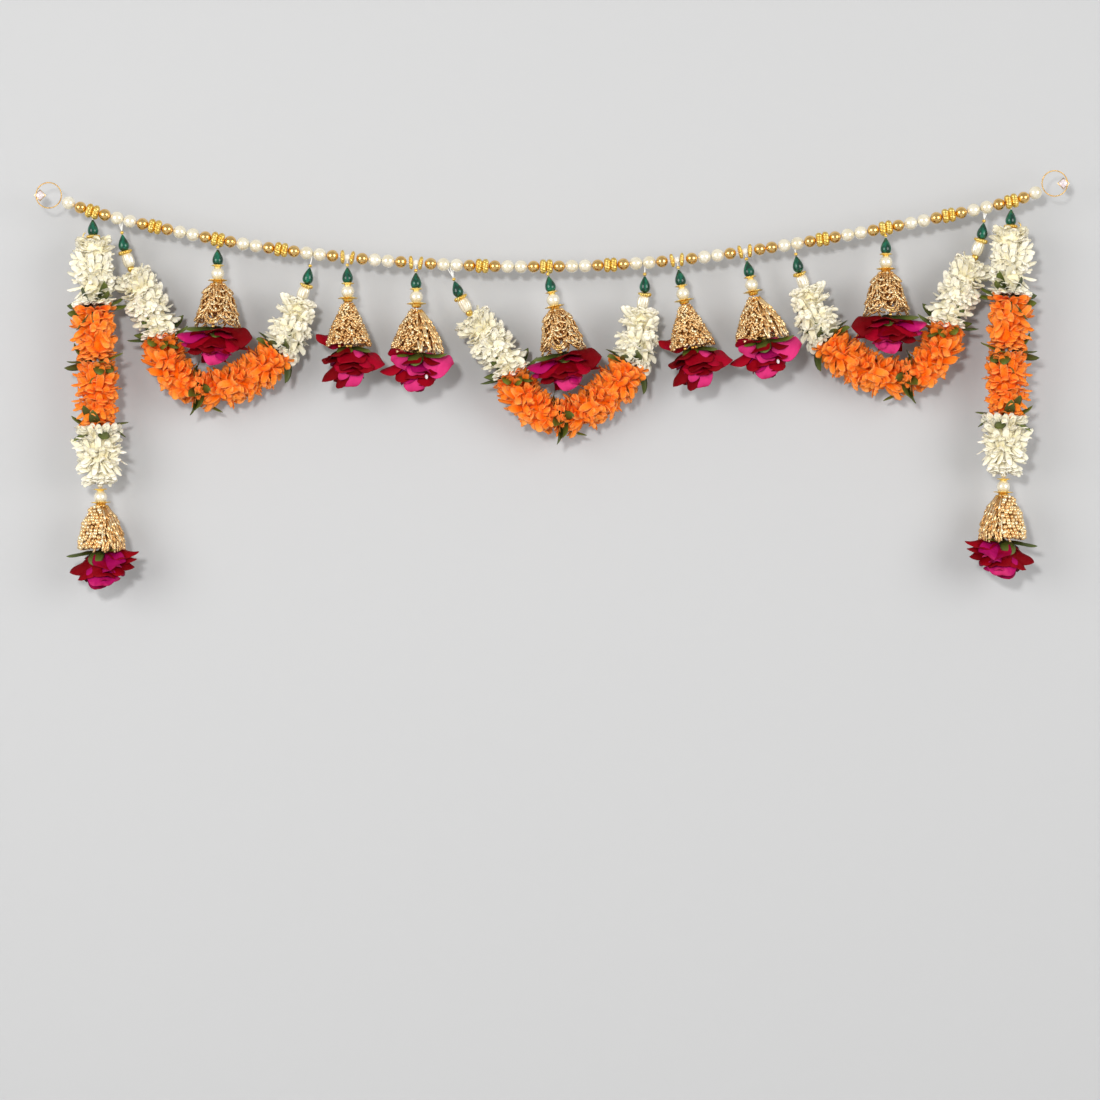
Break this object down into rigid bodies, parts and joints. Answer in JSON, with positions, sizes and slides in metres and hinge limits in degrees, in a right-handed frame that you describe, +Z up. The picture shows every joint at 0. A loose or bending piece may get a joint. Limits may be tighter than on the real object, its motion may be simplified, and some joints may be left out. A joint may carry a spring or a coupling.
{
  "type": "door garland",
  "caption": "Sagging bead string between two wire rings, hung with fabric flower swags, long flower strands and tasselled rose drops, for decorating a doorway.",
  "frame": {"origin": "midway between the centres of the two end rings, on the hanging line", "axes": "+X to the right along the door head, +Y towards the wall, +Z up"},
  "size_m": [0.9604, 0.0631, 0.3919],
  "materials": {
    "pearl": "cream pearl coating, high gloss",
    "gilt": "polished gold plating",
    "green_bead": "deep green, high gloss",
    "crystal": "clear cut stone with a faint pink tint",
    "champagne": "champagne-gold metallised beads",
    "rose_fabric": "satin fabric, crimson to magenta",
    "cream_fabric": "cream fabric petals, matt",
    "orange_fabric": "orange fabric petals, matt",
    "leaf_fabric": "olive fabric leaves, waxed",
    "thread": "white twisted thread"
  },
  "bodies": {
    "root": {"bead_run_left": "pearl", "bead_run_middle": "pearl", "bead_run_right": "pearl", "drop_1_beads": "gilt", "drop_1_rose": "rose_fabric", "drop_1_tassel": "champagne", "drop_2_beads": "gilt", "drop_2_rose": "rose_fabric", "drop_2_tassel": "champagne", "drop_3_beads": "gilt", "drop_3_rose": "rose_fabric", "drop_3_tassel": "champagne", "drop_4_beads": "gilt", "drop_4_rose": "rose_fabric", "drop_4_tassel": "champagne", "drop_5_beads": "gilt", "drop_5_rose": "rose_fabric", "drop_5_tassel": "champagne", "drop_6_beads": "gilt", "drop_6_rose": "rose_fabric", "drop_6_tassel": "champagne", "drop_7_beads": "gilt", "drop_7_rose": "rose_fabric", "drop_7_tassel": "champagne", "left_ring": "gilt", "left_strand_beads": "gilt", "left_strand_lower_beads": "gilt", "left_strand_orange_lower": "orange_fabric", "left_strand_orange_upper": "orange_fabric", "left_strand_rose": "rose_fabric", "left_strand_tassel": "champagne", "left_strand_white_lower": "cream_fabric", "left_strand_white_upper": "cream_fabric", "left_swag_left_beads": "gilt", "left_swag_left_orange": "orange_fabric", "left_swag_left_white": "cream_fabric", "left_swag_right_beads": "gilt", "left_swag_right_orange": "orange_fabric", "left_swag_right_white": "cream_fabric", "middle_swag_left_beads": "gilt", "middle_swag_left_orange": "orange_fabric", "middle_swag_left_white": "cream_fabric", "middle_swag_right_beads": "gilt", "middle_swag_right_orange": "orange_fabric", "middle_swag_right_white": "cream_fabric", "right_ring": "gilt", "right_strand_beads": "gilt", "right_strand_lower_beads": "gilt", "right_strand_orange_lower": "orange_fabric", "right_strand_orange_upper": "orange_fabric", "right_strand_rose": "rose_fabric", "right_strand_tassel": "champagne", "right_strand_white_lower": "cream_fabric", "right_strand_white_upper": "cream_fabric", "right_swag_left_beads": "gilt", "right_swag_left_orange": "orange_fabric", "right_swag_left_white": "cream_fabric", "right_swag_right_beads": "gilt", "right_swag_right_orange": "orange_fabric", "right_swag_right_white": "cream_fabric"}
  },
  "joints": []
}
